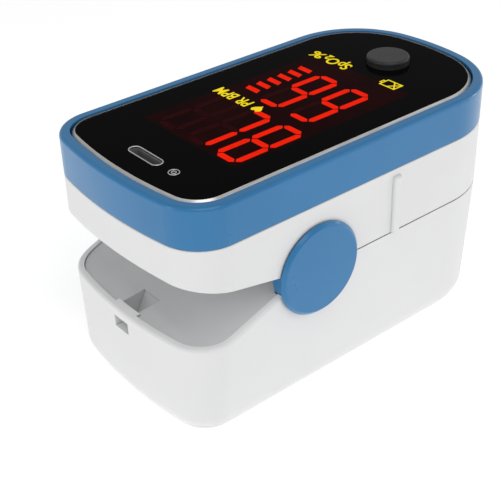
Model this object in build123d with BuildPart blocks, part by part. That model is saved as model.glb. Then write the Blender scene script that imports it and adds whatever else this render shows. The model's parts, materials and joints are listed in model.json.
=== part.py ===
from build123d import *
from math import asin, degrees, sqrt
import os

os.makedirs("parts", exist_ok=True)

# Millimetres. Origin: centre of the underside. +X: towards the finger opening and the power button.
# +Z: up, through the display. The squeeze end and its lanyard hole are at -X.

# ---- case -------------------------------------------------------------------------------------
CASE_LENGTH = 58.0
CASE_WIDTH = 31.5
CASE_TOP = 33.8
BAND_BOTTOM = 28.1          # joint between the white upper shell and the coloured top cover
PARTING = 18.7              # joint between the two jaws
JAW_GAP = 0.1               # each jaw stops this far short of the parting plane
WALL = 1.5
COVER_WALL = 0.8            # wall of the two inner covers
FIT = 0.1                   # gap between an inner part and the shell that it drops into
SQUEEZE_BOW, SQUEEZE_CORNER = 65.5, 6.1     # plan radii at the squeeze end
OPEN_BOW, OPEN_CORNER = 33.5, 12.3          # plan radii at the finger end
SIDE_DRAFT, END_DRAFT = 1.3, 0.4            # how far the underside is inside the parting line
# Rim line of the lower jaw at the squeeze end: (x, z) of its end, its bend and its start
RIM_END, RIM_BEND, RIM_START = (-31.0, 13.2), (-23.5, 13.8), -11.0
RIM_ROUND = 10.0
UNDER_EDGE = 2.0
SEAM_EDGE = 0.2             # rounding on both sides of the seam under the top cover

# ---- hinge ------------------------------------------------------------------------------------
HINGE_X, HINGE_Z = -8.8, 19.0
CAP_RADIUS, CAP_PROUD, CAP_GAP = 6.5, 0.75, 0.2
DRUM_RADIUS = 6.1
PIN_RADIUS = 1.0
EAR_RADIUS = 3.0
SPRING_RADIUS, SPRING_WIRE = 2.2, 0.5

# ---- finger space -----------------------------------------------------------------------------
FINGER_WIDTH, FINGER_LOW, FINGER_HIGH = 17.0, 16.2, 24.2
FINGER_ROUND = 3.6
FINGER_STOP = -4.0
PAD = 1.0
SENSOR_X = 7.0

# ---- top face ---------------------------------------------------------------------------------
RIM = 1.4                   # coloured rim around the window
TRIM_INSET, TRIM_SLOPE = 1.6, 0.4
WINDOW_INSET = 2.1
WINDOW_LOW, WINDOW_TOP = 32.1, 33.75
BUTTON_X, BUTTON_RADIUS, BUTTON_TOP = 19.0, 3.05, 34.8
SLOT_X, SLOT_LENGTH, SLOT_WIDTH = -22.85, 6.1, 1.6
LENS_X, LENS_Y, LENS_RADIUS = -22.8, -5.7, 0.6
DISPLAY_X, DISPLAY_LENGTH, DISPLAY_WIDTH = -1.85, 30.0, 19.5
BOARD_LOW, BOARD_THICK = 28.4, 1.0

# ---- cells ------------------------------------------------------------------------------------
CELL_RADIUS, CELL_LENGTH, NUB_RADIUS, NUB_LENGTH = 5.25, 44.5, 1.9, 1.0
CELL_Y, CELL_Z = 5.4, 6.5
FRONT_CONTACT, REAR_CONTACT = -23.8, 23.0
CONTACT_THICK = 0.3
CONTACT_SPRING, CONTACT_WIRE = 1.95, 0.22

# ---- battery cover ----------------------------------------------------------------------------
COVER_FRONT, COVER_HALF, COVER_THICK = -18.0, 11.5, 1.2
TONGUE, TONGUE_LOW, RUN = 0.6, 0.6, 0.1

# Screws: (x, y) on the +Y side, each with its mirror image
SCREW_PLACES = [(4.0, 12.6), (17.0, 12.6)]
SCREW_RADIUS, SCREW_HEAD, SCREW_LENGTH = 0.75, 1.35, 5.0
POST_RADIUS, POST_BORE = 1.7, 0.8

FAR = 40.0                  # reach of the cutting shapes, past the whole case
STANDING = (Align.CENTER, Align.CENTER, Align.MIN)
HANGING = (Align.CENTER, Align.CENTER, Align.MAX)


def export(piece, name):
    piece.part.label = name
    export_step(piece.part, f"parts/{name}.step")


def case_outline(inset, stretch=0.0):
    """Plan of the case moved inwards, each end then moved outwards by stretch."""
    half = CASE_WIDTH / 2 - inset
    left_y = CASE_WIDTH / 2 - SQUEEZE_CORNER
    left_bow_x = -CASE_LENGTH / 2 + SQUEEZE_BOW - stretch
    left_reach = SQUEEZE_BOW - SQUEEZE_CORNER
    left_x = left_bow_x - sqrt(left_reach**2 - left_y**2)
    left_angle = degrees(asin(left_y / left_reach))
    right_y = CASE_WIDTH / 2 - OPEN_CORNER
    right_bow_x = CASE_LENGTH / 2 - OPEN_BOW + stretch
    right_reach = OPEN_BOW - OPEN_CORNER
    right_x = right_bow_x + sqrt(right_reach**2 - right_y**2)
    right_angle = degrees(asin(right_y / right_reach))
    CenterArc((left_bow_x, 0), SQUEEZE_BOW - inset, 180 - left_angle, 2 * left_angle)
    CenterArc((left_x, -left_y), SQUEEZE_CORNER - inset, 180 + left_angle, 90 - left_angle)
    Line((left_x, -half), (right_x, -half))
    CenterArc((right_x, -right_y), OPEN_CORNER - inset, 270, 90 - right_angle)
    CenterArc((right_bow_x, 0), OPEN_BOW - inset, -right_angle, 2 * right_angle)
    CenterArc((right_x, right_y), OPEN_CORNER - inset, right_angle, 90 - right_angle)
    Line((right_x, half), (left_x, half))
    CenterArc((left_x, left_y), SQUEEZE_CORNER - inset, 90, 90 - left_angle)


def slab(inset, low, high, mode=Mode.ADD):
    """Upright block of the case's plan."""
    with BuildSketch(Plane.XY.offset(low)) as plan:
        with BuildLine():
            case_outline(inset)
        make_face()
    extrude(plan.sketch, amount=high - low, mode=mode)


def drafted(inset, low, high, mode=Mode.ADD):
    """Block of the lower jaw, which narrows towards its underside."""
    ends = []
    for height in (low, high):
        below = (PARTING - height) / PARTING
        with BuildSketch(Plane.XY.offset(height)) as plan:
            with BuildLine():
                case_outline(inset + SIDE_DRAFT * below, (SIDE_DRAFT - END_DRAFT) * below)
            make_face()
        ends.append(plan.sketch)
    return loft(ends, mode=mode)


def lower_body():
    """Whole outside of the lower jaw up to the parting line, with its rounded under edge."""
    drafted(0, 0, PARTING - JAW_GAP)
    fillet(faces().sort_by(Axis.Z)[0].edges(), UNDER_EDGE)


def rim_line(drop, reach=0.0):
    """Points of the lower jaw's rim line lowered by drop, its start moved along X by reach."""
    end = (RIM_END[0], RIM_END[1] - drop)
    bend = (RIM_BEND[0], RIM_BEND[1] - drop)
    start = (RIM_START + reach, PARTING - JAW_GAP - drop)
    return end, bend, start


def squeeze_gap(drop, mode=Mode.SUBTRACT):
    """Everything over the lower jaw's rim line at the squeeze end, the line lowered by drop."""
    end, bend, start = rim_line(drop)
    with BuildSketch(Plane.XZ) as side:
        with BuildLine():
            FilletPolyline(end, bend, start, radius=RIM_ROUND)
            Polyline(start, (start[0], FAR), (end[0], FAR), end)
        make_face()
    return extrude(side.sketch, amount=FAR, both=True, mode=mode)


def jaw_edge(x, rise=0.0):
    """Height of the upper jaw's lower edge at the squeeze end."""
    return PARTING + JAW_GAP + rise + 0.2 * max(0.0, -8 - x)


def under_jaw(rise, mode=Mode.SUBTRACT):
    """Everything under the upper jaw's lower edge, the edge raised by rise."""
    with BuildSketch(Plane.XZ) as side:
        with BuildLine():
            Polyline((-31, jaw_edge(-31, rise)), (-8, jaw_edge(-8, rise)), (-8, 0), (-31, 0), close=True)
        make_face()
    extrude(side.sketch, amount=FAR, both=True, mode=mode)


def tunnel(grow, start, end, mode=Mode.ADD):
    """The finger space grown by grow, from start to end along X."""
    width = FINGER_WIDTH + 2 * grow
    height = FINGER_HIGH - FINGER_LOW + 2 * grow
    middle = (FINGER_LOW + FINGER_HIGH) / 2
    with BuildSketch(Plane.YZ.offset(start)) as section:
        with Locations((0, middle)):
            RectangleRounded(width, height, FINGER_ROUND + grow)
    extrude(section.sketch, amount=end - start, mode=mode)


def block(x, y, z, mode=Mode.ADD):
    """Box from three (low, high) pairs."""
    centre = [(low + high) / 2 for low, high in (x, y, z)]
    sizes = [high - low for low, high in (x, y, z)]
    with Locations(tuple(centre)):
        Box(*sizes, mode=mode)


def cross_rod(x, z, radius, y_low, y_high, mode=Mode.ADD):
    """Cylinder along Y."""
    with Locations((x, (y_low + y_high) / 2, z)):
        Cylinder(radius, y_high - y_low, rotation=(90, 0, 0), mode=mode)


def both_sides(places):
    return [(x, side * y) for x, y in places for side in (-1, 1)]


def hinge_rod(radius, near, far, side=-1, mode=Mode.ADD):
    """Cylinder on the hinge axis between two distances from the middle plane."""
    ends = sorted((side * near, side * far))
    cross_rod(HINGE_X, HINGE_Z, radius, *ends, mode=mode)


def hinge_block(x, near, far, z, side, mode=Mode.ADD):
    ends = sorted((side * near, side * far))
    block(x, ends, z, mode)


# Distances of the hinge's pieces from the middle plane
HALF = CASE_WIDTH / 2
DRUM_IN = HALF - WALL - 0.2
LOWER_EAR = (11.0, 12.0)
UPPER_EAR = (9.9, 10.9)
SPRING_AT = (12.1, 13.9)
EAR_X = (HINGE_X - EAR_RADIUS, HINGE_X + EAR_RADIUS)
WELL_X = (HINGE_X - EAR_RADIUS - 0.9, HINGE_X + EAR_RADIUS + 0.9)
WELL_Y = (9.0, HALF)

# ---- lower jaw ----------------------------------------------------------------------------------
FLANGE_TOP = PARTING - JAW_GAP - 0.2        # top of the lower inner cover's flange
RIM_DROP = 0.25                             # the lower inner cover lies this far under the rim
HOLE_Y, HOLE_Z = (-1.5, 1.5), (10.3, 12.1)  # lanyard hole
POCKET_Y = 1.75                             # half width of the lanyard pocket
POCKET_START, POCKET_FLOOR = -27.6, 10.2
POCKET_BACK = (-25.3, -23.75)               # its sloping back wall, at the floor and at the rim
POCKET_WALL = 0.6
BAR_Y, BAR_END = 2.3, -27.3                 # bar of the wall that the lanyard loops round
LIP_WALL = 0.9                              # the wall is thinner over the inner cover's edge
SIDE_FLOOR = 2.2                            # the floor is thicker beside the battery cover
CAVITY_TOP = 22.0
LIP_INSET, LIP_HEIGHT, LIP_START = 0.85, 0.25, -2.0     # lip that closes the parting line

with BuildPart() as lower_shell:
    lower_body()
    squeeze_gap(0)
    rim_edges = (
        lower_shell.edges()
        .filter_by(lambda e: RIM_END[1] - 0.5 < e.center().Z < PARTING - 0.2 and e.center().X < RIM_START)
        .filter_by(lambda e: e.center().X < -26 or abs(e.center().Y) > 10)
    )
    fillet(rim_edges, 0.4)
    slab(LIP_INSET, PARTING - 1, PARTING + LIP_HEIGHT)
    block((-FAR, LIP_START), (-FAR, FAR), (PARTING - JAW_GAP, FAR), Mode.SUBTRACT)
    squeeze_gap(0)
    drafted(WALL, SIDE_FLOOR, CAVITY_TOP, mode=Mode.SUBTRACT)
    block((-24, 22.3), (-COVER_HALF - RUN, COVER_HALF + RUN), (COVER_THICK, SIDE_FLOOR), Mode.SUBTRACT)
    # Seat of the inner cover's edge, which leaves the lanyard's bar at full thickness
    bar = Pos(-CASE_LENGTH / 2, 0, PARTING) * Box(6, 2 * BAR_Y, FAR, mode=Mode.PRIVATE)
    over_seat = squeeze_gap(RIM_DROP + COVER_WALL + FIT, Mode.PRIVATE)
    seat = drafted(LIP_WALL, SIDE_FLOOR, CAVITY_TOP, mode=Mode.PRIVATE) & over_seat
    add(seat - bar, mode=Mode.SUBTRACT)
    # Posts for the screws of the inner cover
    with Locations([(x, y, SIDE_FLOOR) for x, y in both_sides(SCREW_PLACES)]):
        Cylinder(POST_RADIUS, FLANGE_TOP - COVER_WALL - SIDE_FLOOR, align=STANDING)
    with Locations([(x, y, FLANGE_TOP - COVER_WALL) for x, y in both_sides(SCREW_PLACES)]):
        Cylinder(POST_BORE, 12, mode=Mode.SUBTRACT)
    # Ribs that hold the contacts
    block((FRONT_CONTACT - 0.6, FRONT_CONTACT - 0.02), (-9, 9), (COVER_THICK, 10))
    block((REAR_CONTACT + CONTACT_THICK + 0.02, REAR_CONTACT + 1.2), (-11.5, 11.5), (COVER_THICK + RUN, 9.5))
    for side in (-1, 1):
        hinge_block(EAR_X, LOWER_EAR[0], HALF - 1, (11.5, 13.2), side)
        hinge_block(EAR_X, *LOWER_EAR, (11.5, HINGE_Z), side)
        hinge_rod(EAR_RADIUS, *LOWER_EAR, side)
        hinge_rod(PIN_RADIUS + 0.01, LOWER_EAR[0] - 1, LOWER_EAR[1] + 1, side, Mode.SUBTRACT)
        hinge_rod(DRUM_RADIUS + 0.05, HALF - WALL - 0.8, HALF + 1, side, Mode.SUBTRACT)
    tunnel(PAD, FINGER_STOP + 20, FAR, Mode.SUBTRACT)
    block((-32, -26.9), HOLE_Y, HOLE_Z, Mode.SUBTRACT)
    # Opening and grooves of the battery cover, open at the finger end
    wide = COVER_HALF + RUN
    groove = COVER_HALF + TONGUE + RUN
    block((COVER_FRONT - RUN, FAR), (-wide, wide), (-1, COVER_THICK + RUN), Mode.SUBTRACT)
    block((COVER_FRONT - RUN, FAR), (-groove, groove), (TONGUE_LOW - RUN, COVER_THICK + RUN), Mode.SUBTRACT)
    block((COVER_FRONT - 0.9, FAR), (-3.1, 3.1), (0.5, COVER_THICK + RUN), Mode.SUBTRACT)
export(lower_shell, "lower_shell")

with BuildPart() as battery_cover:
    lower_body()
    tongue = COVER_HALF + TONGUE
    block((COVER_FRONT - 5, FAR), (-tongue, tongue), (0, COVER_THICK), Mode.INTERSECT)
    for side in (-1, 1):
        ends = sorted((side * COVER_HALF, side * FAR))
        block((-FAR, FAR), ends, (-1, TONGUE_LOW), Mode.SUBTRACT)
    block((-FAR, COVER_FRONT), (-FAR, -3), (-1, 2), Mode.SUBTRACT)
    block((-FAR, COVER_FRONT), (3, FAR), (-1, 2), Mode.SUBTRACT)
    block((-FAR, COVER_FRONT), (-3, 3), (-1, 0.6), Mode.SUBTRACT)
    block((-FAR, COVER_FRONT - 0.6), (-FAR, FAR), (-1, 2), Mode.SUBTRACT)
    with GridLocations(1.8, 0, 5, 1):
        with Locations((17, 0, 0)):
            Box(0.8, 10, 0.6, mode=Mode.SUBTRACT)
export(battery_cover, "battery_cover")

with BuildPart() as lower_inner_cover:
    block((-FAR, FAR), (-HALF, HALF), (FLANGE_TOP - COVER_WALL, FLANGE_TOP))
    squeeze_gap(RIM_DROP)
    top_end, top_bend, top_start = rim_line(RIM_DROP)
    low_end, low_bend, low_start = rim_line(RIM_DROP + COVER_WALL, 0.6)
    with BuildSketch(Plane.XZ) as skin:
        with BuildLine():
            FilletPolyline(top_end, top_bend, top_start, radius=RIM_ROUND)
            Line(top_start, low_start)
            FilletPolyline(low_start, low_bend, low_end, radius=RIM_ROUND)
            Line(low_end, top_end)
        make_face()
    skin_block = extrude(amount=HALF, both=True)
    tunnel(PAD + COVER_WALL, FINGER_STOP - COVER_WALL, FAR)
    with BuildSketch(Plane.XZ) as pocket_walls:
        with BuildLine():
            foot = POCKET_FLOOR - POCKET_WALL
            back = POCKET_BACK[1] + POCKET_WALL + 0.15
            Polyline((POCKET_START, foot), (POCKET_BACK[0] + POCKET_WALL, foot), (back, 12.6))
            Polyline((back, 12.6), (back, 13.2), (POCKET_START, 12.8), (POCKET_START, foot))
        make_face()
    extrude(amount=POCKET_Y + POCKET_WALL, both=True)
    block((-FAR, FAR), (-FAR, FAR), (FLANGE_TOP, FAR), Mode.SUBTRACT)
    drafted(WALL + FIT, 3, PARTING, Mode.INTERSECT)
    edge_reach = Pos(RIM_START - FIT - FAR / 2, 0, 0) * Box(FAR, FAR, FAR * 2, mode=Mode.PRIVATE)
    edge_plan = drafted(LIP_WALL + FIT, 3, PARTING, mode=Mode.PRIVATE)
    add(skin_block & edge_plan & edge_reach)
    block((-FAR, BAR_END), (-BAR_Y - FIT, BAR_Y + FIT), (0, FAR), Mode.SUBTRACT)
    tunnel(PAD, FINGER_STOP, FAR, Mode.SUBTRACT)
    with BuildSketch(Plane.XZ) as pocket:
        with BuildLine():
            Polyline((-FAR, POCKET_FLOOR), (POCKET_BACK[0], POCKET_FLOOR), (POCKET_BACK[1], RIM_END[1]))
            Polyline((POCKET_BACK[1], RIM_END[1]), (POCKET_BACK[1], FAR), (-FAR, FAR), (-FAR, POCKET_FLOOR))
        make_face()
    extrude(amount=POCKET_Y, both=True, mode=Mode.SUBTRACT)
    for side in (-1, 1):
        hinge_block(WELL_X, *WELL_Y, (11, FAR), side, Mode.SUBTRACT)
        hinge_rod(DRUM_RADIUS + 0.1, DRUM_IN - 0.1, HALF, side, Mode.SUBTRACT)
    block((SENSOR_X - 3, SENSOR_X + 3), (-2.5, 2.5), (12, 16), Mode.SUBTRACT)
    with Locations([(x, y, FLANGE_TOP) for x, y in both_sides(SCREW_PLACES)]):
        CounterSinkHole(SCREW_RADIUS + 0.05, SCREW_HEAD + 0.05, depth=COVER_WALL * 2)
export(lower_inner_cover, "lower_inner_cover")

with BuildPart() as lower_finger_pad:
    tunnel(PAD - 0.05, FINGER_STOP + 0.05, FAR)
    drafted(0.8, 3, PARTING, Mode.INTERSECT)
    tunnel(0, FINGER_STOP, FAR, Mode.SUBTRACT)
    block((-FAR, FAR), (-FAR, FAR), (FLANGE_TOP, FAR), Mode.SUBTRACT)
    block((SENSOR_X - 3, SENSOR_X + 3), (-2.5, 2.5), (12, 18), Mode.SUBTRACT)
export(lower_finger_pad, "lower_finger_pad")

SENSOR_BOARD_TOP = FINGER_LOW - PAD - COVER_WALL
with BuildPart() as sensor_board:
    block((SENSOR_X - 6, SENSOR_X + 6), (-4.5, 4.5), (SENSOR_BOARD_TOP - 0.55, SENSOR_BOARD_TOP))
    fillet(sensor_board.edges().filter_by(Axis.Z), 0.6)
    with GridLocations(9.5, 6, 2, 2):
        Hole(0.5)
export(sensor_board, "sensor_board")

with BuildPart() as photodiode:
    block((SENSOR_X - 2, SENSOR_X + 2), (-1.8, 1.8), (SENSOR_BOARD_TOP, SENSOR_BOARD_TOP + 0.75))
    chamfer(photodiode.faces().sort_by(Axis.Z)[-1].edges(), 0.15)
export(photodiode, "photodiode")

with BuildPart() as sensor_lens:
    block((SENSOR_X - 2.9, SENSOR_X + 2.9), (-2.4, 2.4), (SENSOR_BOARD_TOP + 0.8, FINGER_LOW - 0.1))
    fillet(sensor_lens.edges().filter_by(Axis.Z), 0.8)
    fillet(sensor_lens.faces().sort_by(Axis.Z)[-1].edges(), 0.25)
export(sensor_lens, "sensor_lens")


def cell(nub_x, direction):
    """One cell lying along X, its nub's tip at nub_x, its body away from direction."""
    nub_y = direction * CELL_Y
    shoulder = nub_x - direction * NUB_LENGTH
    end = nub_x - direction * CELL_LENGTH
    body = sorted((shoulder, end))
    nub = sorted((nub_x, shoulder))
    for radius, (low, high) in ((CELL_RADIUS, body), (NUB_RADIUS, nub)):
        with Locations(((low + high) / 2, nub_y, CELL_Z)):
            Cylinder(radius, high - low, rotation=(0, 90, 0))


with BuildPart() as battery_1:
    cell(FRONT_CONTACT + CONTACT_THICK, -1)
    fillet(battery_1.edges().filter_by(GeomType.CIRCLE), 0.25)
export(battery_1, "battery_1")

with BuildPart() as battery_2:
    cell(REAR_CONTACT, 1)
    fillet(battery_2.edges().filter_by(GeomType.CIRCLE), 0.25)
export(battery_2, "battery_2")


def contact_plate(x_low, y_low, y_high):
    block((x_low, x_low + CONTACT_THICK), (y_low, y_high), (CELL_Z - 3.4, CELL_Z + 3.4))


def contact_spring(x, y, way):
    """Conical wire spring that stands on a contact plate and points along X."""
    with BuildLine() as path:
        coil = Helix(
            pitch=CONTACT_SPRING / 3,
            height=CONTACT_SPRING - 2 * CONTACT_WIRE,
            radius=3.0,
            center=(x, y, CELL_Z),
            direction=(way, 0, 0),
            cone_angle=-25,
        )
    with BuildSketch(Plane(origin=coil @ 0, z_dir=coil % 0)) as wire:
        Circle(CONTACT_WIRE)
    sweep(wire.sketch, path=path.line, is_frenet=True)


with BuildPart() as front_bridge_contact:
    contact_plate(FRONT_CONTACT, -8.5, 8.5)
    contact_spring(FRONT_CONTACT + CONTACT_THICK + CONTACT_WIRE / 2, CELL_Y, 1)
export(front_bridge_contact, "front_bridge_contact")

with BuildPart() as rear_negative_contact:
    contact_plate(REAR_CONTACT, -CELL_Y - 3, -CELL_Y + 3)
    contact_spring(REAR_CONTACT - CONTACT_WIRE / 2, -CELL_Y, -1)
export(rear_negative_contact, "rear_negative_contact")

with BuildPart() as rear_positive_contact:
    contact_plate(REAR_CONTACT, CELL_Y - 3, CELL_Y + 3)
export(rear_positive_contact, "rear_positive_contact")

# ---- hinge ----------------------------------------------------------------------------------------
CAP_IN = HALF + CAP_GAP
CAP_OUT = HALF + CAP_PROUD


CAP_BEVEL, CAP_CROWN = 0.3, 0.12
SPRING_TURNS = 3
SPRING_LEG = 3.4

# Domed disc with a bevel, on a drum that passes through the wall and holds the pin's end
with BuildPart() as hinge_cap_left:
    hinge_rod(DRUM_RADIUS, DRUM_IN, CAP_IN)
    hinge_rod(CAP_RADIUS, CAP_IN, CAP_OUT - CAP_CROWN)
    chamfer(hinge_cap_left.faces().sort_by(Axis.Y)[0].edges(), CAP_BEVEL)
    with BuildSketch(Plane.XZ.offset(CAP_OUT - CAP_CROWN)):
        with Locations((HINGE_X, HINGE_Z)):
            Circle(CAP_RADIUS - CAP_BEVEL)
    extrude(amount=CAP_CROWN, taper=60)
    hinge_rod(PIN_RADIUS, DRUM_IN - 1, DRUM_IN + 0.7, mode=Mode.SUBTRACT)
export(hinge_cap_left, "hinge_cap_left")

with BuildPart() as hinge_pin_left:
    hinge_rod(PIN_RADIUS, UPPER_EAR[0] - 0.1, DRUM_IN + 0.65)
    hinge_rod(PIN_RADIUS + 0.7, UPPER_EAR[0] - 0.6, UPPER_EAR[0] - 0.1)
export(hinge_pin_left, "hinge_pin_left")

# Turns round the pin, with one leg for each jaw
with BuildPart() as torsion_spring_left:
    near, far = SPRING_AT
    with BuildLine() as path:
        coil = Helix(
            pitch=(far - near - 2 * SPRING_WIRE) / SPRING_TURNS,
            height=far - near - 2 * SPRING_WIRE,
            radius=SPRING_RADIUS,
            center=(HINGE_X, -near - SPRING_WIRE, HINGE_Z),
            direction=(0, -1, 0),
        )
    for spot, way in ((coil @ 0, -(coil % 0)), (coil @ 1, coil % 1)):
        with BuildSketch(Plane(origin=spot, z_dir=way)) as leg:
            Circle(SPRING_WIRE / 2)
        extrude(leg.sketch, amount=SPRING_LEG)
    with BuildSketch(Plane(origin=coil @ 0, z_dir=coil % 0)) as wire:
        Circle(SPRING_WIRE / 2)
    sweep(wire.sketch, path=path.line, is_frenet=True)
export(torsion_spring_left, "torsion_spring_left")

with BuildPart() as hinge_cap_right:
    mirror(hinge_cap_left.part, about=Plane.XZ)
export(hinge_cap_right, "hinge_cap_right")

with BuildPart() as hinge_pin_right:
    mirror(hinge_pin_left.part, about=Plane.XZ)
export(hinge_pin_right, "hinge_pin_right")

with BuildPart() as torsion_spring_right:
    mirror(torsion_spring_left.part, about=Plane.XZ)
export(torsion_spring_right, "torsion_spring_right")

# ---- upper jaw ------------------------------------------------------------------------------------
UPPER_FLANGE = PARTING + JAW_GAP + 0.1      # underside of the upper inner cover's flange
RIB_X, RIB_WIDTH, RIB_PROUD, RIB_TOP = 4.8, 1.3, 0.5, 27.1
UPPER_WEB = 25.4                            # top of the web that ties each upper ear to the wall

with BuildPart() as upper_shell:
    slab(0, PARTING + JAW_GAP, BAND_BOTTOM)
    fillet(upper_shell.faces().sort_by(Axis.Z)[-1].edges(), SEAM_EDGE)
    under_jaw(0)
    slab(WALL, 10, FAR, Mode.SUBTRACT)
    slab(LIP_INSET - FIT, PARTING, PARTING + LIP_HEIGHT + FIT, Mode.SUBTRACT)
    # Shelf for the main board, which also locates the top cover
    slab(WALL - 0.3, BAND_BOTTOM - 1.3, BAND_BOTTOM - 0.05)
    slab(WALL + FIT, BAND_BOTTOM - 0.1, BOARD_LOW)
    slab(WALL + 1.5, 22, FAR, Mode.SUBTRACT)
    with Locations([(x, y, UPPER_FLANGE + COVER_WALL) for x, y in both_sides(SCREW_PLACES)]):
        Cylinder(POST_RADIUS, 6.5, align=STANDING)
        Cylinder(POST_BORE, 12, mode=Mode.SUBTRACT)
    for side in (-1, 1):
        hinge_block(EAR_X, UPPER_EAR[0], HALF - 1, (UPPER_WEB - 1.2, UPPER_WEB), side)
        hinge_block(EAR_X, *UPPER_EAR, (HINGE_Z, UPPER_WEB), side)
        hinge_rod(EAR_RADIUS, *UPPER_EAR, side)
        hinge_rod(PIN_RADIUS + 0.05, UPPER_EAR[0] - 1, UPPER_EAR[1] + 1, side, Mode.SUBTRACT)
        hinge_rod(DRUM_RADIUS + 0.2, HALF - WALL - 0.5, HALF + 1, side, Mode.SUBTRACT)
        with Locations((RIB_X, side * HALF, (PARTING + JAW_GAP + RIB_TOP) / 2)):
            Box(RIB_WIDTH, 2 * RIB_PROUD, RIB_TOP - PARTING - JAW_GAP)
    rib_edges = upper_shell.edges().filter_by(lambda e: abs(e.center().Y) > HALF + RIB_PROUD - 0.01)
    fillet(rib_edges, 0.3)
    tunnel(PAD, FINGER_STOP + 20, FAR, Mode.SUBTRACT)
export(upper_shell, "upper_shell")

with BuildPart() as upper_inner_cover:
    block((-FAR, FAR), (-HALF, HALF), (UPPER_FLANGE, UPPER_FLANGE + COVER_WALL))
    with BuildSketch(Plane.XZ) as skin:
        with BuildLine():
            Polyline(
                (-31, jaw_edge(-31, 0.2)),
                (-8, jaw_edge(-8, 0.2)),
                (-8, jaw_edge(-8, 0.2 + COVER_WALL)),
                (-31, jaw_edge(-31, 0.2 + COVER_WALL)),
                close=True,
            )
        make_face()
    extrude(amount=HALF, both=True)
    tunnel(PAD + COVER_WALL, FINGER_STOP - COVER_WALL, FAR)
    block((-FAR, FAR), (-FAR, FAR), (0, UPPER_FLANGE), Mode.SUBTRACT)
    under_jaw(0.2)
    slab(WALL + FIT, 10, FAR, Mode.INTERSECT)
    tunnel(PAD, FINGER_STOP, FAR, Mode.SUBTRACT)
    for side in (-1, 1):
        hinge_block(WELL_X, *WELL_Y, (10, FAR), side, Mode.SUBTRACT)
        hinge_rod(DRUM_RADIUS + 0.2, DRUM_IN - 0.2, HALF, side, Mode.SUBTRACT)
    block((SENSOR_X - 3, SENSOR_X + 3), (-2.5, 2.5), (24, 28), Mode.SUBTRACT)
    with Locations([(x, y) for x, y in both_sides(SCREW_PLACES)]):
        with Locations(Location((0, 0, UPPER_FLANGE), (180, 0, 0))):
            CounterSinkHole(SCREW_RADIUS + 0.05, SCREW_HEAD + 0.05, depth=COVER_WALL * 2)
export(upper_inner_cover, "upper_inner_cover")

with BuildPart() as upper_finger_pad:
    tunnel(PAD - 0.05, FINGER_STOP + 0.05, FAR)
    slab(0.8, 10, FAR, Mode.INTERSECT)
    tunnel(0, FINGER_STOP, FAR, Mode.SUBTRACT)
    block((-FAR, FAR), (-FAR, FAR), (0, UPPER_FLANGE), Mode.SUBTRACT)
    block((SENSOR_X - 3, SENSOR_X + 3), (-2.5, 2.5), (22, 28), Mode.SUBTRACT)
export(upper_finger_pad, "upper_finger_pad")

EMITTER_LOW = FINGER_HIGH + PAD + COVER_WALL
with BuildPart() as emitter_board:
    block((SENSOR_X - 6, SENSOR_X + 6), (-4.5, 4.5), (EMITTER_LOW, EMITTER_LOW + 0.6))
    fillet(emitter_board.edges().filter_by(Axis.Z), 0.6)
    with GridLocations(9.5, 6, 2, 2):
        Hole(0.5)
export(emitter_board, "emitter_board")

with BuildPart() as emitter_leds:
    with Locations([(SENSOR_X - 1.1, 0, EMITTER_LOW), (SENSOR_X + 1.1, 0, EMITTER_LOW)]):
        Box(1.6, 1.2, 0.7, align=HANGING)
export(emitter_leds, "emitter_leds")

with BuildPart() as emitter_lens:
    block((SENSOR_X - 2.9, SENSOR_X + 2.9), (-2.4, 2.4), (FINGER_HIGH + 0.1, EMITTER_LOW - 0.75))
    fillet(emitter_lens.edges().filter_by(Axis.Z), 0.8)
    fillet(emitter_lens.faces().sort_by(Axis.Z)[0].edges(), 0.25)
export(emitter_lens, "emitter_lens")

# Screws: a countersunk head with a cross recess, flush with the flange
with BuildPart() as lower_screws:
    with Locations([(x, y, FLANGE_TOP) for x, y in both_sides(SCREW_PLACES)]):
        Cone(SCREW_RADIUS, SCREW_HEAD, 0.75, align=HANGING)
        Cylinder(SCREW_RADIUS, SCREW_LENGTH, align=HANGING)
        Box(1.7, 0.35, 0.7, mode=Mode.SUBTRACT)
        Box(0.35, 1.7, 0.7, mode=Mode.SUBTRACT)
export(lower_screws, "lower_screws")

with BuildPart() as upper_screws:
    with Locations([(x, y, UPPER_FLANGE) for x, y in both_sides(SCREW_PLACES)]):
        Cone(SCREW_HEAD, SCREW_RADIUS, 0.75, align=STANDING)
        Cylinder(SCREW_RADIUS, SCREW_LENGTH, align=STANDING)
        Box(1.7, 0.35, 0.7, mode=Mode.SUBTRACT)
        Box(0.35, 1.7, 0.7, mode=Mode.SUBTRACT)
export(upper_screws, "upper_screws")

# ---- top cover, trim and window ---------------------------------------------------------------------
SEAT = 32.0                 # ledge of the top cover that carries the trim and the window
LEDGE_THICK = 1.2

with BuildPart() as top_cover:
    slab(0, BAND_BOTTOM, CASE_TOP)
    fillet(top_cover.faces().sort_by(Axis.Z)[-1].edges(), 0.55)
    fillet(top_cover.faces().sort_by(Axis.Z)[0].edges(), SEAM_EDGE)
    slab(RIM, SEAT, FAR, Mode.SUBTRACT)
    slab(WALL, BAND_BOTTOM - 1, SEAT - LEDGE_THICK, Mode.SUBTRACT)
    slab(RIM + 1.8, BAND_BOTTOM, FAR, Mode.SUBTRACT)
export(top_cover, "top_cover")

with BuildPart() as window_trim:
    slab(TRIM_INSET, SEAT, CASE_TOP)
    chamfer(window_trim.faces().sort_by(Axis.Z)[-1].edges(), TRIM_SLOPE)
    slab(WINDOW_INSET - 0.05, SEAT - 1, FAR, Mode.SUBTRACT)
export(window_trim, "window_trim")

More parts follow.
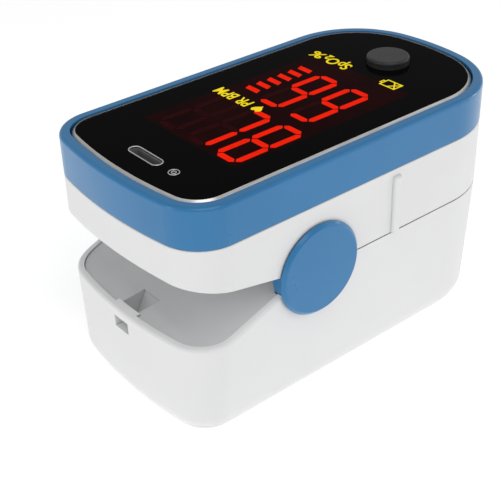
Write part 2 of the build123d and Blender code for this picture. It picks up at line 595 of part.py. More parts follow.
with BuildPart() as display_window:
    slab(WINDOW_INSET, WINDOW_LOW, WINDOW_TOP)
    fillet(display_window.faces().sort_by(Axis.Z)[-1].edges(), 0.15)
    with Locations((BUTTON_X, 0, WINDOW_TOP)):
        Hole(BUTTON_RADIUS + 0.1)
    with Locations((LENS_X, LENS_Y, WINDOW_TOP)):
        Hole(LENS_RADIUS + 0.02)
    with BuildSketch(Plane.XY.offset(WINDOW_TOP)):
        with Locations((SLOT_X, 0)):
            SlotOverall(SLOT_LENGTH, SLOT_WIDTH, rotation=90)
    extrude(amount=-3, mode=Mode.SUBTRACT)
export(display_window, "display_window")

BOARD_TOP = BOARD_LOW + BOARD_THICK

with BuildPart() as slot_insert:
    with BuildSketch(Plane.XY.offset(WINDOW_LOW - 0.6)):
        with Locations((SLOT_X, 0)):
            SlotOverall(SLOT_LENGTH + 1.6, SLOT_WIDTH + 1.6, rotation=90)
    extrude(amount=0.55)
    with BuildSketch(Plane.XY.offset(WINDOW_LOW - 0.1)):
        with Locations((SLOT_X, 0)):
            SlotOverall(SLOT_LENGTH - 0.04, SLOT_WIDTH - 0.04, rotation=90)
    extrude(amount=1.55)
    with BuildSketch(Plane.XY.offset(WINDOW_LOW + 0.55)):
        with Locations((SLOT_X, 0)):
            SlotOverall(SLOT_LENGTH - 0.6, SLOT_WIDTH - 0.5, rotation=90)
    extrude(amount=2, mode=Mode.SUBTRACT)
    with Locations([(SLOT_X, y, WINDOW_LOW) for y in (-1.6, 0, 1.6)]):
        Cylinder(0.3, 4, mode=Mode.SUBTRACT)
export(slot_insert, "slot_insert")

with BuildPart() as light_sensor:
    with Locations((LENS_X, LENS_Y, BOARD_TOP)):
        Box(1.8, 1.8, 0.8, align=STANDING)
        Cylinder(LENS_RADIUS, WINDOW_TOP - BOARD_TOP - 0.3, align=STANDING)
    fillet(light_sensor.faces().sort_by(Axis.Z)[-1].edges(), 0.35)
export(light_sensor, "light_sensor")

with BuildPart() as buzzer:
    with Locations((SLOT_X + 2.6, 5.2, BOARD_TOP)):
        Cylinder(2.6, 1.6, align=STANDING)
        Hole(0.6)
    fillet(buzzer.faces().sort_by(Axis.Z)[-1].edges(), 0.2)
export(buzzer, "buzzer")

with BuildPart() as main_board:
    slab(WALL + 0.6, BOARD_LOW, BOARD_TOP)
    with Locations([(x, y, BOARD_TOP) for x, y in both_sides([(-20, 9.5), (13, 11)])]):
        Hole(1.0)
export(main_board, "main_board")

with BuildPart() as board_chips:
    with Locations((-3, 0, BOARD_LOW)):
        Box(7, 7, 0.9, align=HANGING)
    with Locations((-14, -4, BOARD_LOW)):
        Box(4, 5, 0.9, align=HANGING)
    with Locations([(x, y, BOARD_LOW) for x in (-12, -10, -8) for y in (6, 9)]):
        Box(1.0, 1.8, 0.6, align=HANGING)
export(board_chips, "board_chips")

with BuildPart() as led_display:
    with Locations((DISPLAY_X, 0, BOARD_TOP)):
        Box(DISPLAY_LENGTH, DISPLAY_WIDTH, WINDOW_LOW - BOARD_TOP - 0.1, align=STANDING)
    chamfer(led_display.faces().sort_by(Axis.Z)[-1].edges(), 0.3)
export(led_display, "led_display")

# ---- power button -------------------------------------------------------------------------------------
BUTTON_FLANGE_TOP = WINDOW_LOW - 0.05
PLUNGER_TOP = 31.4
SWITCH_TOP = 30.8
GROOVE_DROP, GROOVE_WIDTH = 0.62, 0.2

with BuildPart() as power_button:
    with Locations((BUTTON_X, 0, BUTTON_FLANGE_TOP - 0.5)):
        Cylinder(BUTTON_RADIUS + 0.7, 0.5, align=STANDING)
    with Locations((BUTTON_X, 0, PLUNGER_TOP)):
        Cylinder(BUTTON_RADIUS, BUTTON_TOP - PLUNGER_TOP, align=STANDING)
    fillet(power_button.faces().sort_by(Axis.Z)[-1].edges(), 0.35)
    with Locations((BUTTON_X, 0, BUTTON_TOP - GROOVE_DROP)):
        Cylinder(BUTTON_RADIUS, GROOVE_WIDTH, mode=Mode.SUBTRACT)
        Cylinder(BUTTON_RADIUS - GROOVE_WIDTH / 2, GROOVE_WIDTH)
export(power_button, "power_button")

with BuildPart() as switch_plunger:
    with Locations((BUTTON_X, 0, SWITCH_TOP - 0.25)):
        Cylinder(1.7, PLUNGER_TOP - SWITCH_TOP + 0.25, align=STANDING)
export(switch_plunger, "switch_plunger")

with BuildPart() as tact_switch:
    with Locations((BUTTON_X, 0, BOARD_TOP)):
        Box(6, 6, SWITCH_TOP - BOARD_TOP, align=STANDING)
    with Locations((BUTTON_X, 0, SWITCH_TOP - 0.85)):
        Cylinder(1.75, 2, align=STANDING, mode=Mode.SUBTRACT)
export(tact_switch, "tact_switch")
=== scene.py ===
import json
import math

import bpy
from mathutils import Matrix, Vector


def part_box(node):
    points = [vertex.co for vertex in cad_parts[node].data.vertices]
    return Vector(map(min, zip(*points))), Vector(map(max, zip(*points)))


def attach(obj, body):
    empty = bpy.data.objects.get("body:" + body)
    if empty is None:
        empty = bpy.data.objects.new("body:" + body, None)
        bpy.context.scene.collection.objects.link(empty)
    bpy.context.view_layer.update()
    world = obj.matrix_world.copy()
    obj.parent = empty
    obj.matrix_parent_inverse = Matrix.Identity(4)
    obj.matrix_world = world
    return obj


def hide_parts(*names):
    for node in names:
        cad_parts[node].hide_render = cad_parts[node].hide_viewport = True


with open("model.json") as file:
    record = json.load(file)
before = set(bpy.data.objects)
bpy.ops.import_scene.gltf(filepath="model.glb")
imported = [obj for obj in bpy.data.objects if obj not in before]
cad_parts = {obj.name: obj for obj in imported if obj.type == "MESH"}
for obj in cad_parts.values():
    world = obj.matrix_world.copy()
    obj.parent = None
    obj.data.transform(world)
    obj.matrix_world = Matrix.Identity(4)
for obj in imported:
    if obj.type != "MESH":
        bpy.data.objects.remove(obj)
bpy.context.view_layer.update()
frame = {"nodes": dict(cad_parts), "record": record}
MM = 0.001

# ---- places read from the frame ----------------------------------------------------------
DISPLAY_LOW, DISPLAY_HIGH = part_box("led_display")
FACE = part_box("display_window")[1].z    # the glossy top face
LIT = 0.03 * MM                         # how far the lit marks stand over it


# ---- camera, light and floor -------------------------------------------------------------
def add_camera():
    azimuth, elevation, roll = (math.radians(a) for a in (-38.79, 32.86, -1.79))
    target = Vector((-2.83, 5.30, 8.91)) * MM
    back = Vector((
        math.sin(azimuth) * math.cos(elevation),
        -math.cos(azimuth) * math.cos(elevation),
        math.sin(elevation),
    ))
    level_right = Vector((math.cos(azimuth), math.sin(azimuth), 0))
    level_up = back.cross(level_right)
    right = level_right * math.cos(roll) + level_up * math.sin(roll)
    up = level_up * math.cos(roll) - level_right * math.sin(roll)
    place = Matrix((right, up, back)).transposed().to_4x4()
    place.translation = target + back * 158.82 * MM
    data = bpy.data.cameras.new("camera")
    data.sensor_width = 36
    data.lens = 78.0
    data.clip_start = 0.005
    camera = bpy.data.objects.new("camera", data)
    bpy.context.scene.collection.objects.link(camera)
    camera.matrix_world = place
    bpy.context.scene.camera = camera


def add_area_light(name, place, size, power, aim=(0, 0, 0.015), colour=(1, 1, 1)):
    data = bpy.data.lights.new(name, "AREA")
    data.shape = "RECTANGLE"
    data.size, data.size_y = size
    data.energy = power
    data.color = colour
    light = bpy.data.objects.new(name, data)
    bpy.context.scene.collection.objects.link(light)
    light.location = place
    light.rotation_euler = (Vector(aim) - Vector(place)).to_track_quat("-Z", "Y").to_euler()


def add_studio():
    world = bpy.data.worlds.new("studio")
    world.use_nodes = True
    sky = world.node_tree.nodes["Background"]
    sky.inputs["Color"].default_value = (1, 1, 1, 1)
    sky.inputs["Strength"].default_value = 0.46
    bpy.context.scene.world = world
    bpy.context.scene.view_settings.view_transform = "Standard"
    add_area_light("key", (-0.10, -0.25, 0.42), (0.35, 0.35), 0.62)
    add_area_light("fill", (-0.42, -0.02, 0.16), (0.30, 0.25), 0.06)
    add_area_light("side", (0.34, -0.26, 0.16), (0.22, 0.25), 0.12)
    add_area_light("left_strip", (-0.30, 0.06, 0.10), (0.03, 0.20), 0.09)
    add_area_light("right_strip", (0.32, -0.10, 0.05), (0.04, 0.12), 0.08)
    bpy.ops.mesh.primitive_plane_add(size=3.0)
    floor = bpy.context.object
    floor.name = "floor"
    paint = bpy.data.materials.new("floor_paint")
    paint.use_nodes = True
    shader = paint.node_tree.nodes["Principled BSDF"]
    shader.inputs["Base Color"].default_value = (0.92, 0.92, 0.92, 1)
    shader.inputs["Roughness"].default_value = 0.9
    shader.inputs["Specular IOR Level"].default_value = 0.0
    shader.inputs["Emission Color"].default_value = (1, 1, 1, 1)
    shader.inputs["Emission Strength"].default_value = 0.42
    floor.data.materials.append(paint)


# ---- materials ---------------------------------------------------------------------------
class Paint:
    """A principled material with a kit for its procedural nodes, in metres of object space."""

    def __init__(self, name, **settings):
        self.material = bpy.data.materials.new(name)
        self.material.use_nodes = True
        self.tree = self.material.node_tree
        self.shader = self.tree.nodes["Principled BSDF"]
        self.place = self.node("ShaderNodeTexCoord").outputs["Object"]
        for key, value in settings.items():
            self.set(key.replace("_", " ").title().replace("Ior", "IOR"), value)

    def set(self, socket, value):
        if isinstance(value, (tuple, list)):
            value = (*value, 1.0)
        self.shader.inputs[socket].default_value = value

    def node(self, kind, **settings):
        made = self.tree.nodes.new(kind)
        for key, value in settings.items():
            setattr(made, key, value)
        return made

    def link(self, source, target):
        self.tree.links.new(source, target)

    def noise(self, scale_mm, detail=3.0, stretch=(1, 1, 1), seed=0.0):
        """Noise whose blobs are about scale_mm wide, stretched along the axes."""
        mapping = self.node("ShaderNodeMapping")
        mapping.inputs["Scale"].default_value = stretch
        mapping.inputs["Location"].default_value = (seed, seed, seed)
        self.link(self.place, mapping.inputs["Vector"])
        texture = self.node("ShaderNodeTexNoise")
        texture.inputs["Scale"].default_value = 1000.0 / scale_mm
        texture.inputs["Detail"].default_value = detail
        self.link(mapping.outputs["Vector"], texture.inputs["Vector"])
        return texture.outputs["Fac"]

    def ramp(self, source, low, high, start=0.3, end=0.7):
        """Value or colour that goes from low to high as the source goes from start to end."""
        blend = self.node("ShaderNodeMapRange")
        blend.inputs["From Min"].default_value = start
        blend.inputs["From Max"].default_value = end
        self.link(source, blend.inputs["Value"])
        if isinstance(low, (int, float)):
            blend.inputs["To Min"].default_value = low
            blend.inputs["To Max"].default_value = high
            return blend.outputs["Result"]
        return self.mix(blend.outputs["Result"], low, high)

    def mix(self, factor, low, high):
        """Blend of two colours, each one a constant or another node's output."""
        mixer = self.node("ShaderNodeMix", data_type="RGBA")
        self.link(factor, mixer.inputs[0])
        for socket, colour in ((mixer.inputs[6], low), (mixer.inputs[7], high)):
            if isinstance(colour, (tuple, list)):
                socket.default_value = (*colour, 1.0)
            else:
                self.link(colour, socket)
        return mixer.outputs[2]

    def maths(self, operation, first, second=0.0):
        made = self.node("ShaderNodeMath", operation=operation)
        for socket, value in zip(made.inputs, (first, second)):
            if isinstance(value, (int, float)):
                socket.default_value = value
            else:
                self.link(value, socket)
        return made.outputs[0]

    def axis(self, letter):
        split = self.node("ShaderNodeSeparateXYZ")
        self.link(self.place, split.inputs[0])
        return split.outputs[letter]

    def within(self, letter, low, high, soft):
        """1 between two places along an axis, 0 outside, with soft edges."""
        value = self.axis(letter)
        rise = self.ramp(value, 0.0, 1.0, low - soft, low + soft)
        fall = self.ramp(value, 1.0, 0.0, high - soft, high + soft)
        return self.maths("MULTIPLY", rise, fall)

    def bump(self, height, depth_mm, strength=1.0):
        """Adds a relief of depth_mm over what the shader already has."""
        relief = self.node("ShaderNodeBump")
        relief.inputs["Distance"].default_value = depth_mm * MM
        relief.inputs["Strength"].default_value = strength
        self.link(height, relief.inputs["Height"])
        if self.shader.inputs["Normal"].is_linked:
            self.link(self.shader.inputs["Normal"].links[0].from_socket, relief.inputs["Normal"])
        self.link(relief.outputs["Normal"], self.shader.inputs["Normal"])

    def painted_crevice_shade(self, source, reach_mm=0.6, dark=0.30):
        """The colour darkened by painted shade in narrow seams and crevices, from ambient
        occlusion.
        """
        shade = self.node("ShaderNodeAmbientOcclusion", samples=8)
        shade.inputs["Distance"].default_value = reach_mm * MM
        open_share = self.ramp(shade.outputs["AO"], dark, 1.0, 0.15, 0.62)
        darkened = self.node("ShaderNodeVectorMath", operation="SCALE")
        self.link(source, darkened.inputs[0])
        self.link(open_share, darkened.inputs["Scale"])
        return darkened.outputs["Vector"]

    def colour(self, source):
        self.link(source, self.shader.inputs["Base Color"])

    def roughness(self, source):
        self.link(source, self.shader.inputs["Roughness"])


def tinted(colour, factor):
    return tuple(min(1.0, channel * factor) for channel in colour)


def moulded(name, colour, gloss, grain_mm=0.22, grain_depth=0.004, spread=0.03, **settings):
    """Injection moulded plastic: eroded grain, slow flow variation and faint handling marks."""
    paint = Paint(name, **settings)
    flow = paint.noise(9.0, 2.0, seed=1.3)
    tone = paint.ramp(flow, tinted(colour, 1 - spread), tinted(colour, 1 + spread))
    # painted shade: the colour darkens in narrow seams and crevices
    paint.colour(paint.painted_crevice_shade(tone))
    grain = paint.noise(grain_mm, 2.0)
    smudge = paint.noise(5.0, 4.0, seed=4.7)
    paint.roughness(paint.ramp(smudge, gloss - 0.03, gloss + 0.05))
    paint.bump(flow, 0.01, 0.4)
    paint.bump(grain, grain_depth)
    return paint.material


def blue_plastic():
    return moulded("blue_plastic", (0.024, 0.186, 0.418), 0.30, specular_ior_level=0.30,
                    coat_weight=0.30, coat_roughness=0.15)


def white_plastic():
    white = (0.80, 0.80, 0.803)
    return moulded("white_plastic", white, 0.36, spread=0.010, specular_ior_level=0.45)


def tray_plastic():
    # painted shade: the tray is white plastic, given a grey colour for the shade under the upper
    # jaw
    return moulded("tray_plastic", (0.60, 0.605, 0.61), 0.42, spread=0.015, specular_ior_level=0.4)


def silver_trim():
    paint = Paint("silver_trim", metallic=0.85)
    streaks = paint.noise(0.5, 3.0, stretch=(0.15, 0.15, 3.0))
    paint.colour(paint.ramp(streaks, (0.60, 0.58, 0.56), (0.78, 0.77, 0.76)))
    paint.roughness(paint.ramp(streaks, 0.28, 0.40))
    paint.bump(streaks, 0.003)
    return paint.material


def black_window():
    """Polished black sheet, dark red and see-through over the display module."""
    paint = Paint("black_window", specular_ior_level=0.006)
    soft = 0.12 * MM
    along = paint.within("X", DISPLAY_LOW.x, DISPLAY_HIGH.x, soft)
    across = paint.within("Y", DISPLAY_LOW.y + 0.1 * MM, DISPLAY_HIGH.y - 0.8 * MM, soft)
    cloud = paint.noise(4.0, 3.0)
    red = paint.ramp(cloud, (0.0110, 0.0014, 0.0017), (0.0175, 0.0020, 0.0024))
    paint.colour(paint.mix(paint.maths("MULTIPLY", along, across), (0.0032, 0.0032, 0.0034), red))
    paint.roughness(paint.ramp(paint.noise(2.5, 5.0, seed=2.0), 0.07, 0.12))
    return paint.material


def lit(name, colour, strength):
    """Lit marks seen through the glossy sheet, their glow varying a little at random."""
    paint = Paint(name, roughness=0.25, specular_ior_level=0.006)
    flicker = paint.noise(0.8, 2.0)
    glow = paint.ramp(flicker, tinted(colour, 0.88), tinted(colour, 1.05))
    paint.set("Base Color", tinted(colour, 0.05))
    paint.link(glow, paint.shader.inputs["Emission Color"])
    paint.set("Emission Strength", strength)
    return paint.material


def button_black():
    paint = Paint("button_black", specular_ior_level=0.30, coat_weight=0.2, coat_roughness=0.2)
    grain = paint.noise(0.14, 2.0)
    paint.colour(paint.ramp(paint.noise(2.0, 3.0), (0.022, 0.022, 0.023), (0.030, 0.030, 0.031)))
    paint.roughness(paint.ramp(grain, 0.42, 0.55))
    paint.bump(grain, 0.008)
    return paint.material


def dark_moulding(name, colour, rough, grain_mm=0.12, depth=0.006):
    paint = Paint(name, specular_ior_level=0.4)
    grain = paint.noise(grain_mm, 3.0)
    paint.colour(paint.ramp(paint.noise(1.5, 3.0), tinted(colour, 0.85), tinted(colour, 1.2)))
    paint.roughness(paint.ramp(grain, rough - 0.06, rough + 0.06))
    paint.bump(grain, depth)
    return paint.material


def circuit_board():
    """Green solder resist over faint tracks, with a grid of tinned pads."""
    paint = Paint("circuit_board", specular_ior_level=0.5)
    tracks = paint.node("ShaderNodeTexBrick")
    tracks.inputs["Scale"].default_value = 400.0
    tracks.inputs["Mortar Size"].default_value = 0.04
    tracks.inputs["Color1"].default_value = (0.010, 0.085, 0.030, 1)
    tracks.inputs["Color2"].default_value = (0.014, 0.105, 0.038, 1)
    tracks.inputs["Mortar"].default_value = (0.030, 0.190, 0.075, 1)
    paint.link(paint.place, tracks.inputs["Vector"])
    pads = paint.node("ShaderNodeTexVoronoi")
    pads.inputs["Scale"].default_value = 420.0
    pads.inputs["Randomness"].default_value = 0.35
    paint.link(paint.place, pads.inputs["Vector"])
    tin = paint.ramp(pads.outputs["Distance"], 1.0, 0.0, 0.12, 0.16)
    paint.colour(paint.mix(tin, tracks.outputs["Color"], (0.62, 0.60, 0.55)))
    paint.link(tin, paint.shader.inputs["Metallic"])
    paint.roughness(paint.ramp(paint.noise(1.0), 0.28, 0.42))
    paint.bump(tracks.outputs["Fac"], 0.02)
    return paint.material


def metal(name, colour, rough, stretch=(1, 1, 1)):
    """Plated metal with drawing marks and slight dulling."""
    paint = Paint(name, metallic=1.0)
    marks = paint.noise(0.35, 4.0, stretch=stretch)
    paint.colour(paint.ramp(paint.noise(1.6, 3.0), tinted(colour, 0.86), tinted(colour, 1.08)))
    paint.roughness(paint.ramp(marks, rough - 0.07, rough + 0.09))
    paint.bump(marks, 0.004)
    return paint.material


def clear_lens():
    paint = Paint("clear_lens", transmission_weight=0.55, specular_ior_level=0.6)
    haze = paint.noise(0.9, 3.0)
    paint.colour(paint.ramp(haze, (0.42, 0.40, 0.41), (0.62, 0.60, 0.60)))
    paint.roughness(paint.ramp(haze, 0.04, 0.14))
    return paint.material


def led_die():
    paint = Paint("led_die", specular_ior_level=0.5)
    facets = paint.noise(0.5, 1.0)
    paint.colour(paint.ramp(facets, (0.80, 0.66, 0.20), (0.92, 0.82, 0.42)))
    paint.roughness(paint.ramp(facets, 0.12, 0.25))
    return paint.material


def pad_rubber():
    """Matt silicone with a fine orange-peel skin and a trace of dust."""
    paint = Paint("pad_rubber", specular_ior_level=0.35, sheen_weight=0.08)
    skin = paint.noise(0.30, 3.0)
    dust = paint.noise(2.2, 5.0, seed=3.0)
    paint.colour(paint.ramp(dust, (0.020, 0.021, 0.023), (0.042, 0.043, 0.046)))
    paint.roughness(paint.ramp(dust, 0.52, 0.68))
    paint.bump(skin, 0.015)
    return paint.material


def battery_wrap():
    """Plain shrink sleeve: dark body, one coppery band at the first third, a faint relief streaked
    along X.
    """
    paint = Paint("battery_wrap", specular_ior_level=0.5)
    band = paint.within("X", -0.023, -0.011, 0.1 * MM)
    wear = paint.noise(3.0, 5.0)
    body = paint.ramp(wear, (0.016, 0.020, 0.030), (0.028, 0.034, 0.048))
    paint.colour(paint.mix(band, body, (0.62, 0.30, 0.10)))
    paint.link(paint.ramp(band, 0.0, 0.8, 0.0, 1.0), paint.shader.inputs["Metallic"])
    paint.roughness(paint.ramp(wear, 0.20, 0.32))
    paint.bump(paint.noise(1.2, 2.0, stretch=(0.2, 1, 1)), 0.02)
    return paint.material


MATERIALS = {
    "blue_plastic": blue_plastic,
    "white_plastic": white_plastic,
    "tray_plastic": tray_plastic,
    "silver_trim": silver_trim,
    "black_window": black_window,
    "button_black": button_black,
    "display_grey": lambda: dark_moulding("display_grey", (0.035, 0.009, 0.009), 0.35),
    "chip_black": lambda: dark_moulding("chip_black", (0.014, 0.014, 0.015), 0.55),
    "insert_grey": lambda: dark_moulding("insert_grey", (0.15, 0.15, 0.155), 0.40),
    "plunger_plastic": lambda: dark_moulding("plunger_plastic", (0.55, 0.08, 0.05), 0.40),
    "circuit_board": circuit_board,
    "clear_lens": clear_lens,
    "led_die": led_die,
    "pad_rubber": pad_rubber,
    "battery_wrap": battery_wrap,
    "screw_steel": lambda: metal("screw_steel", (0.62, 0.62, 0.63), 0.28, (4, 4, 0.6)),
    "contact_steel": lambda: metal("contact_steel", (0.74, 0.71, 0.64), 0.26, (1, 1, 0.3)),
    "spring_steel": lambda: metal("spring_steel", (0.52, 0.52, 0.54), 0.30, (0.5, 3, 3)),
    "lit_red": lambda: lit("lit_red", (1.0, 0.016, 0.002), 0.87),
    "lit_yellow": lambda: lit("lit_yellow", (1.0, 0.76, 0.02), 0.9),
}
made = {}


def finish_of(slot):
    if slot not in made:
        made[slot] = MATERIALS[slot]()
    return made[slot]


def dress_cad_nodes():
    slots = {part["node"]: part["material_slot"] for part in frame["record"]["subparts"]}
    for name, node in frame["nodes"].items():
        node.data.materials.clear()
        node.data.materials.append(finish_of(slots[name]))


# ---- marks on the display ----------------------------------------------------------------
def add_plates(name, outlines, slot, thickness=LIT, material=None):
    """Thin plates on the top face, one for each outline of (x, y) points in millimetres."""
    vertices, faces = [], []
    for outline in outlines:
        area = sum(a[0] * b[1] - b[0] * a[1] for a, b in zip(outline, outline[1:] + outline[:1]))
        points = outline if area > 0 else outline[::-1]
        first, count = len(vertices), len(points)
        for height in (FACE + 0.002 * MM, FACE + thickness):
            vertices += [(x * MM, y * MM, height) for x, y in points]
        faces.append([first + i for i in reversed(range(count))])
        faces.append([first + count + i for i in range(count)])
        for i in range(count):
            after = (i + 1) % count
            faces.append([first + i, first + after, first + count + after, first + count + i])
    mesh = bpy.data.meshes.new(name)
    mesh.from_pydata(vertices, [], faces)
    piece = bpy.data.objects.new(name, mesh)
    bpy.context.scene.collection.objects.link(piece)
    mesh.materials.append(material or finish_of(slot))
    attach(piece, "upper_half")
    return piece


def pointed_bar(start, end, width):
    """Long hexagon from tip to tip."""
    start, end = Vector(start), Vector(end)
    along = (end - start).normalized()
    side = Vector((-along.y, along.x)) * width / 2
    shoulder = along * width / 2
    corners = [start, start + shoulder + side, end - shoulder + side]
    corners += [end, end - shoulder - side, start + shoulder - side]
    return [tuple(corner) for corner in corners]


def stroke(start, end, width):
    """Square-ended stroke."""
    start, end = Vector(start), Vector(end)
    along = (end - start).normalized() * width / 2
    side = Vector((-along.y, along.x))
    corners = [start - along + side, start - along - side, end + along - side, end + along + side]
    return [tuple(corner) for corner in corners]


DIGIT_WIDTH = 4.35
SEGMENT = 0.92
SEGMENT_GAP = 0.16
SEGMENTS_OF = {"7": "abc", "8": "abcdefg", "9": "abcdfg"}


def seven_segments(which, left, bottom, height):
    """Segments of one digit, whose top is towards +X and whose reading direction is -Y."""
    edge = SEGMENT / 2
    low, middle, high = edge, height / 2, height - edge
    near, far = edge, DIGIT_WIDTH - edge
    ends = {
        "a": ((near, high), (far, high)),
        "b": ((far, high), (far, middle)),
        "c": ((far, middle), (far, low)),
        "d": ((near, low), (far, low)),
        "e": ((near, low), (near, middle)),
        "f": ((near, middle), (near, high)),
        "g": ((near, middle), (far, middle)),
    }
    outlines = []
    for letter in which:
        start, end = (Vector(point) for point in ends[letter])
        gap = (end - start).normalized() * SEGMENT_GAP
        shape = pointed_bar(start + gap, end - gap, SEGMENT)
        outlines.append([(bottom + v, left - u) for u, v in shape])
    return outlines


UPPER_ROW, UPPER_HEIGHT = -2.7, 11.8
LOWER_ROW, LOWER_HEIGHT = -16.4, 11.7


def add_digits():
    shapes = []
    for digit, left in (("9", 3.3), ("9", -2.65)):
        shapes += seven_segments(SEGMENTS_OF[digit], left, UPPER_ROW, UPPER_HEIGHT)
    for digit, left in (("7", 1.2), ("8", -4.75)):
        shapes += seven_segments(SEGMENTS_OF[digit], left, LOWER_ROW, LOWER_HEIGHT)
    add_plates("lit_digits", shapes, "lit_red")


def add_bar_graph():
    """Six short bars, their ends cut on a slant."""
    near, far, slant, width, pitch, first = 4.55, 7.25, 0.35, 0.95, 1.9, -1.45
    bars = []
    for index in range(6):
        low = first + index * pitch
        high = low + width
        bars.append([(low, near), (high, near + slant), (high, far), (low, far - slant)])
    add_plates("bar_graph", bars, "lit_red")


def add_dark_segments():
    """Segments that are off, just visible through the dark red sheet."""
    shapes = seven_segments("abcdefg", 7.15, LOWER_ROW, LOWER_HEIGHT)
    shapes += seven_segments("defg", 1.2, LOWER_ROW, LOWER_HEIGHT)
    for left in (3.3, -2.65):
        shapes += seven_segments("e", left, UPPER_ROW, UPPER_HEIGHT)
    dark = dark_moulding("dark_segment", (0.027, 0.0024, 0.0030), 0.30, 0.4, 0.001)
    dark.node_tree.nodes["Principled BSDF"].inputs["Specular IOR Level"].default_value = 0.006
    add_plates("dark_segments", shapes, "display_grey", 0.012 * MM, dark)


def add_legend(name, words, along_y, along_x, weight=0.012):
    """Words that read towards +Y with their tops towards -X, fitted into a box in millimetres."""
    curve = bpy.data.curves.new(name, "FONT")
    curve.body = words
    curve.offset = weight
    curve.extrude = 0.1
    text = bpy.data.objects.new(name, curve)
    bpy.context.scene.collection.objects.link(text)
    bpy.context.view_layer.update()
    shaped = text.evaluated_get(bpy.context.evaluated_depsgraph_get())
    mesh = bpy.data.meshes.new_from_object(shaped)
    bpy.data.objects.remove(text)
    lows = [min(v.co[i] for v in mesh.vertices) for i in range(3)]
    highs = [max(v.co[i] for v in mesh.vertices) for i in range(3)]
    for vertex in mesh.vertices:
        u, v, w = ((vertex.co[i] - lows[i]) / (highs[i] - lows[i]) for i in range(3))
        x = along_x[1] + (along_x[0] - along_x[1]) * v
        y = along_y[0] + (along_y[1] - along_y[0]) * u
        vertex.co = (x * MM, y * MM, FACE + 0.002 * MM + LIT * w)
    piece = bpy.data.objects.new(name, mesh)
    bpy.context.scene.collection.objects.link(piece)
    mesh.materials.clear()
    mesh.materials.append(finish_of("lit_yellow"))
    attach(piece, "upper_half")


def add_heart():
    """Heart with its tip towards +X."""
    points = []
    for step in range(40):
        t = 2 * math.pi * step / 40
        across = 16 * math.sin(t) ** 3
        upward = 13 * math.cos(t) - 5 * math.cos(2 * t) - 2 * math.cos(3 * t) - math.cos(4 * t)
        points.append((-4.5 - upward / 29 * 1.8, 0.75 + across / 32 * 1.6))
    add_plates("heart_mark", [points], "lit_yellow")


def add_battery_mark():
    low, high, near, far, width = 12.8, 14.5, -7.1, -4.5, 0.2
    middle = (low + high) / 2
    cross = -5.7
    nub = 0.35
    lines = [
        ((low, near), (low, far)),
        ((high, near), (high, far)),
        ((low, near), (high, near)),
        ((low, far), (high, far)),
        ((low, near), (high, cross)),
        ((high, near), (low, cross)),
        ((middle - nub, far + 0.4), (middle + nub, far + 0.4)),
        ((middle - nub, far), (middle - nub, far + 0.4)),
        ((middle + nub, far), (middle + nub, far + 0.4)),
    ]
    add_plates("battery_mark", [stroke(a, b, width) for a, b in lines], "lit_yellow")


def add_display_marks():
    add_digits()
    add_bar_graph()
    add_dark_segments()
    add_legend("pulse_legend", "PR BPM", (2.5, 9.2), (-5.4, -3.5))
    add_legend("saturation_legend", "SpO", (2.2, 6.3), (12.4, 15.0))
    add_legend("saturation_index", "2", (6.35, 7.3), (13.3, 14.7))
    add_legend("saturation_unit", "%", (7.5, 9.7), (12.5, 14.4))
    add_heart()
    add_battery_mark()


# ---- painted highlight rings in the top face ---------------------------------------------
def add_highlight_ring(name, outline, radius):
    """Bright silver ring of round section along a closed outline in the top face: a painted
    highlight for a lit edge.
    """
    vertices, faces = [], []
    count, sides = len(outline), 8
    for i, (x, y) in enumerate(outline):
        before, after = outline[i - 1], outline[(i + 1) % count]
        along = Vector((after[0] - before[0], after[1] - before[1])).normalized()
        for j in range(sides):
            angle = 2 * math.pi * j / sides
            out, rise = radius * math.cos(angle), radius * math.sin(angle)
            vertices.append((x + along.y * out, y - along.x * out, FACE + rise))
    for i in range(count):
        for j in range(sides):
            a, b = i * sides + j, i * sides + (j + 1) % sides
            c, d = (i + 1) % count * sides + (j + 1) % sides, (i + 1) % count * sides + j
            faces.append([a, b, c, d])
    mesh = bpy.data.meshes.new(name)
    mesh.from_pydata(vertices, [], faces)
    for polygon in mesh.polygons:
        polygon.use_smooth = True
    piece = bpy.data.objects.new(name, mesh)
    bpy.context.scene.collection.objects.link(piece)
    mesh.materials.append(finish_of("silver_trim"))
    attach(piece, "upper_half")


def add_top_highlight_rings():
    flange = 0.8 * MM
    low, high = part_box("slot_insert")
    reach_x = (high.x - low.x) / 2 - flange
    reach_y = (high.y - low.y) / 2 - flange - reach_x
    centre = (low + high) / 2
    slot_outline = []
    for side in (1, -1):
        for step in range(13):
            angle = math.pi * step / 12 + (0 if side == 1 else math.pi)
            x = centre.x + reach_x * math.cos(angle)
            slot_outline.append((x, centre.y + side * reach_y + reach_x * math.sin(angle)))
    # painted highlight: a silver ring for the bright edge of the slot
    add_highlight_ring("slot_edge_highlight", slot_outline, 0.09 * MM)
    low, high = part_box("light_sensor")
    centre = (low + high) / 2
    # painted highlight: silver rings for the lit lens edge and the lens glint
    for name, radius in (("lens_edge_highlight", 0.68 * MM), ("lens_glint", 0.30 * MM)):
        outline = []
        for step in range(28):
            angle = 2 * math.pi * step / 28
            x = centre.x + radius * math.cos(angle)
            outline.append((x, centre.y + radius * math.sin(angle)))
        add_highlight_ring(name, outline, 0.07 * MM)


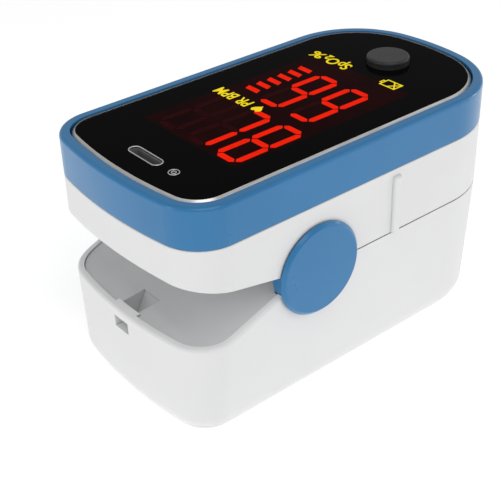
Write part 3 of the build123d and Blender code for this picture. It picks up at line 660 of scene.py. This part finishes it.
# ---- finger pads -------------------------------------------------------------------------
PAD_SKIN = 0.90 * MM                    # thickness of a pad, a little under its CAD solid's
PAD_MARGIN = 0.95 * MM                  # from the CAD solid's outside to the gripping surface
PAD_ROUND = 3.6 * MM
END_BOW = 32.7 * MM                     # plan radius of the pad's edge at the finger opening
RIB_PITCH, RIB_DEPTH = 1.2 * MM, 0.10 * MM
LIP_REACH, LIP_DEPTH = 1.2 * MM, 0.04 * MM      # the lip at the finger opening
PLAIN_END = 2.0 * MM                    # the ribs fade out over this length before the lip
WINDOW_GAP = 0.15 * MM                  # round the lens in the sensor window
PAD_EDGE = 0.12 * MM
SIDE_STEPS, BEND_STEPS = 5, 9


def steps(low, high, near, far, pitch):
    """Values from low to high about pitch apart, with near and far among them."""
    values = []
    for start, end in ((low, near), (near, far), (far, high)):
        count = max(1, round((end - start) / pitch))
        values += [start + (end - start) * i / count for i in range(count)]
    return values + [high]


def pad_section(half, open_z, closed_z, window):
    """Points (y, z) and outward directions along a pad's U, which starts and ends at open_z."""
    way = 1 if closed_z > open_z else -1
    bend_z = closed_z - way * PAD_ROUND
    flat = half - PAD_ROUND
    rise = way * (bend_z - open_z)
    start = math.asin(max(0.0, -rise) / PAD_ROUND)
    section = []
    for i in range(SIDE_STEPS if rise > 0 else 0):
        section.append((-half, open_z + (bend_z - open_z) * i / SIDE_STEPS, (-1, 0)))
    for i in range(BEND_STEPS):
        angle = start + (math.pi / 2 - start) * i / BEND_STEPS
        out = (-math.cos(angle), way * math.sin(angle))
        section.append((-flat + out[0] * PAD_ROUND, bend_z + out[1] * PAD_ROUND, out))
    side = [(-y, z, (-out[0], out[1])) for y, z, out in reversed(section)]
    middle = [(y, closed_z, (0, way)) for y in steps(-flat, flat, -window, window, 0.5 * MM)]
    return section + middle + side


def add_pad(name, node, body, lens):
    """Silicone liner with fine cross ribs, a lip at the finger opening and a sensor window."""
    low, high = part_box(node)
    lens_low, lens_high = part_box(lens)
    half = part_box("upper_finger_pad")[1].y - PAD_MARGIN
    lower = node.startswith("lower")
    open_z, closed_z = (high.z, low.z + PAD_MARGIN) if lower else (low.z, high.z - PAD_MARGIN)
    window = lens_high.y + WINDOW_GAP
    window_start, window_end = lens_low.x - WINDOW_GAP, lens_high.x + WINDOW_GAP
    section = pad_section(half, open_z, closed_z, window)
    columns = steps(low.x, high.x, window_start, window_end, 0.2 * MM)
    vertices, faces = [], []
    for x in columns:
        lip = max(0.0, 1 - (high.x - x) / LIP_REACH)
        for y, z, (out_y, out_z) in section:
            back = END_BOW - math.sqrt(END_BOW**2 - y**2)
            share = (x - low.x) / (high.x - low.x)
            wave = 0.5 + 0.5 * math.cos(2 * math.pi * x / RIB_PITCH)
            ribbed = max(0.0, min(1.0, (high.x - x) / PLAIN_END - 0.6)) * abs(out_z)
            inward = RIB_DEPTH * wave**2 * ribbed - LIP_DEPTH * lip**2
            vertices.append((x - back * share, y - out_y * inward, z - out_z * inward))
    across = len(section)
    for i, (x, after) in enumerate(zip(columns, columns[1:])):
        for j in range(across - 1):
            middle_y = (section[j][0] + section[j + 1][0]) / 2
            in_window = window_start < (x + after) / 2 < window_end
            if in_window and abs(middle_y) < window and abs(section[j][2][1]) == 1:
                continue
            a = i * across + j
            face = [a, a + 1, a + across + 1, a + across]
            faces.append(face if lower else face[::-1])
    mesh = bpy.data.meshes.new(name)
    mesh.from_pydata(vertices, [], faces)
    piece = bpy.data.objects.new(name, mesh)
    bpy.context.scene.collection.objects.link(piece)
    skin = piece.modifiers.new("skin", "SOLIDIFY")
    skin.thickness = PAD_SKIN
    skin.offset = 1
    edge = piece.modifiers.new("edge", "BEVEL")
    edge.width = PAD_EDGE
    edge.segments = 2
    edge.limit_method = "ANGLE"
    edge.angle_limit = math.radians(60)
    bpy.context.view_layer.update()
    shaped = piece.evaluated_get(bpy.context.evaluated_depsgraph_get())
    solid = bpy.data.meshes.new_from_object(shaped)
    piece.modifiers.clear()
    piece.data = solid
    for polygon in solid.polygons:
        polygon.use_smooth = True
    solid.materials.clear()
    solid.materials.append(finish_of("pad_rubber"))
    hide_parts(node)
    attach(piece, body)


# ---- the whole scene ---------------------------------------------------------------------
add_camera()
add_studio()
dress_cad_nodes()
add_display_marks()
add_top_highlight_rings()
add_pad("lower_pad_liner", "lower_finger_pad", "lower_half", "sensor_lens")
add_pad("upper_pad_liner", "upper_finger_pad", "upper_half", "emitter_lens")
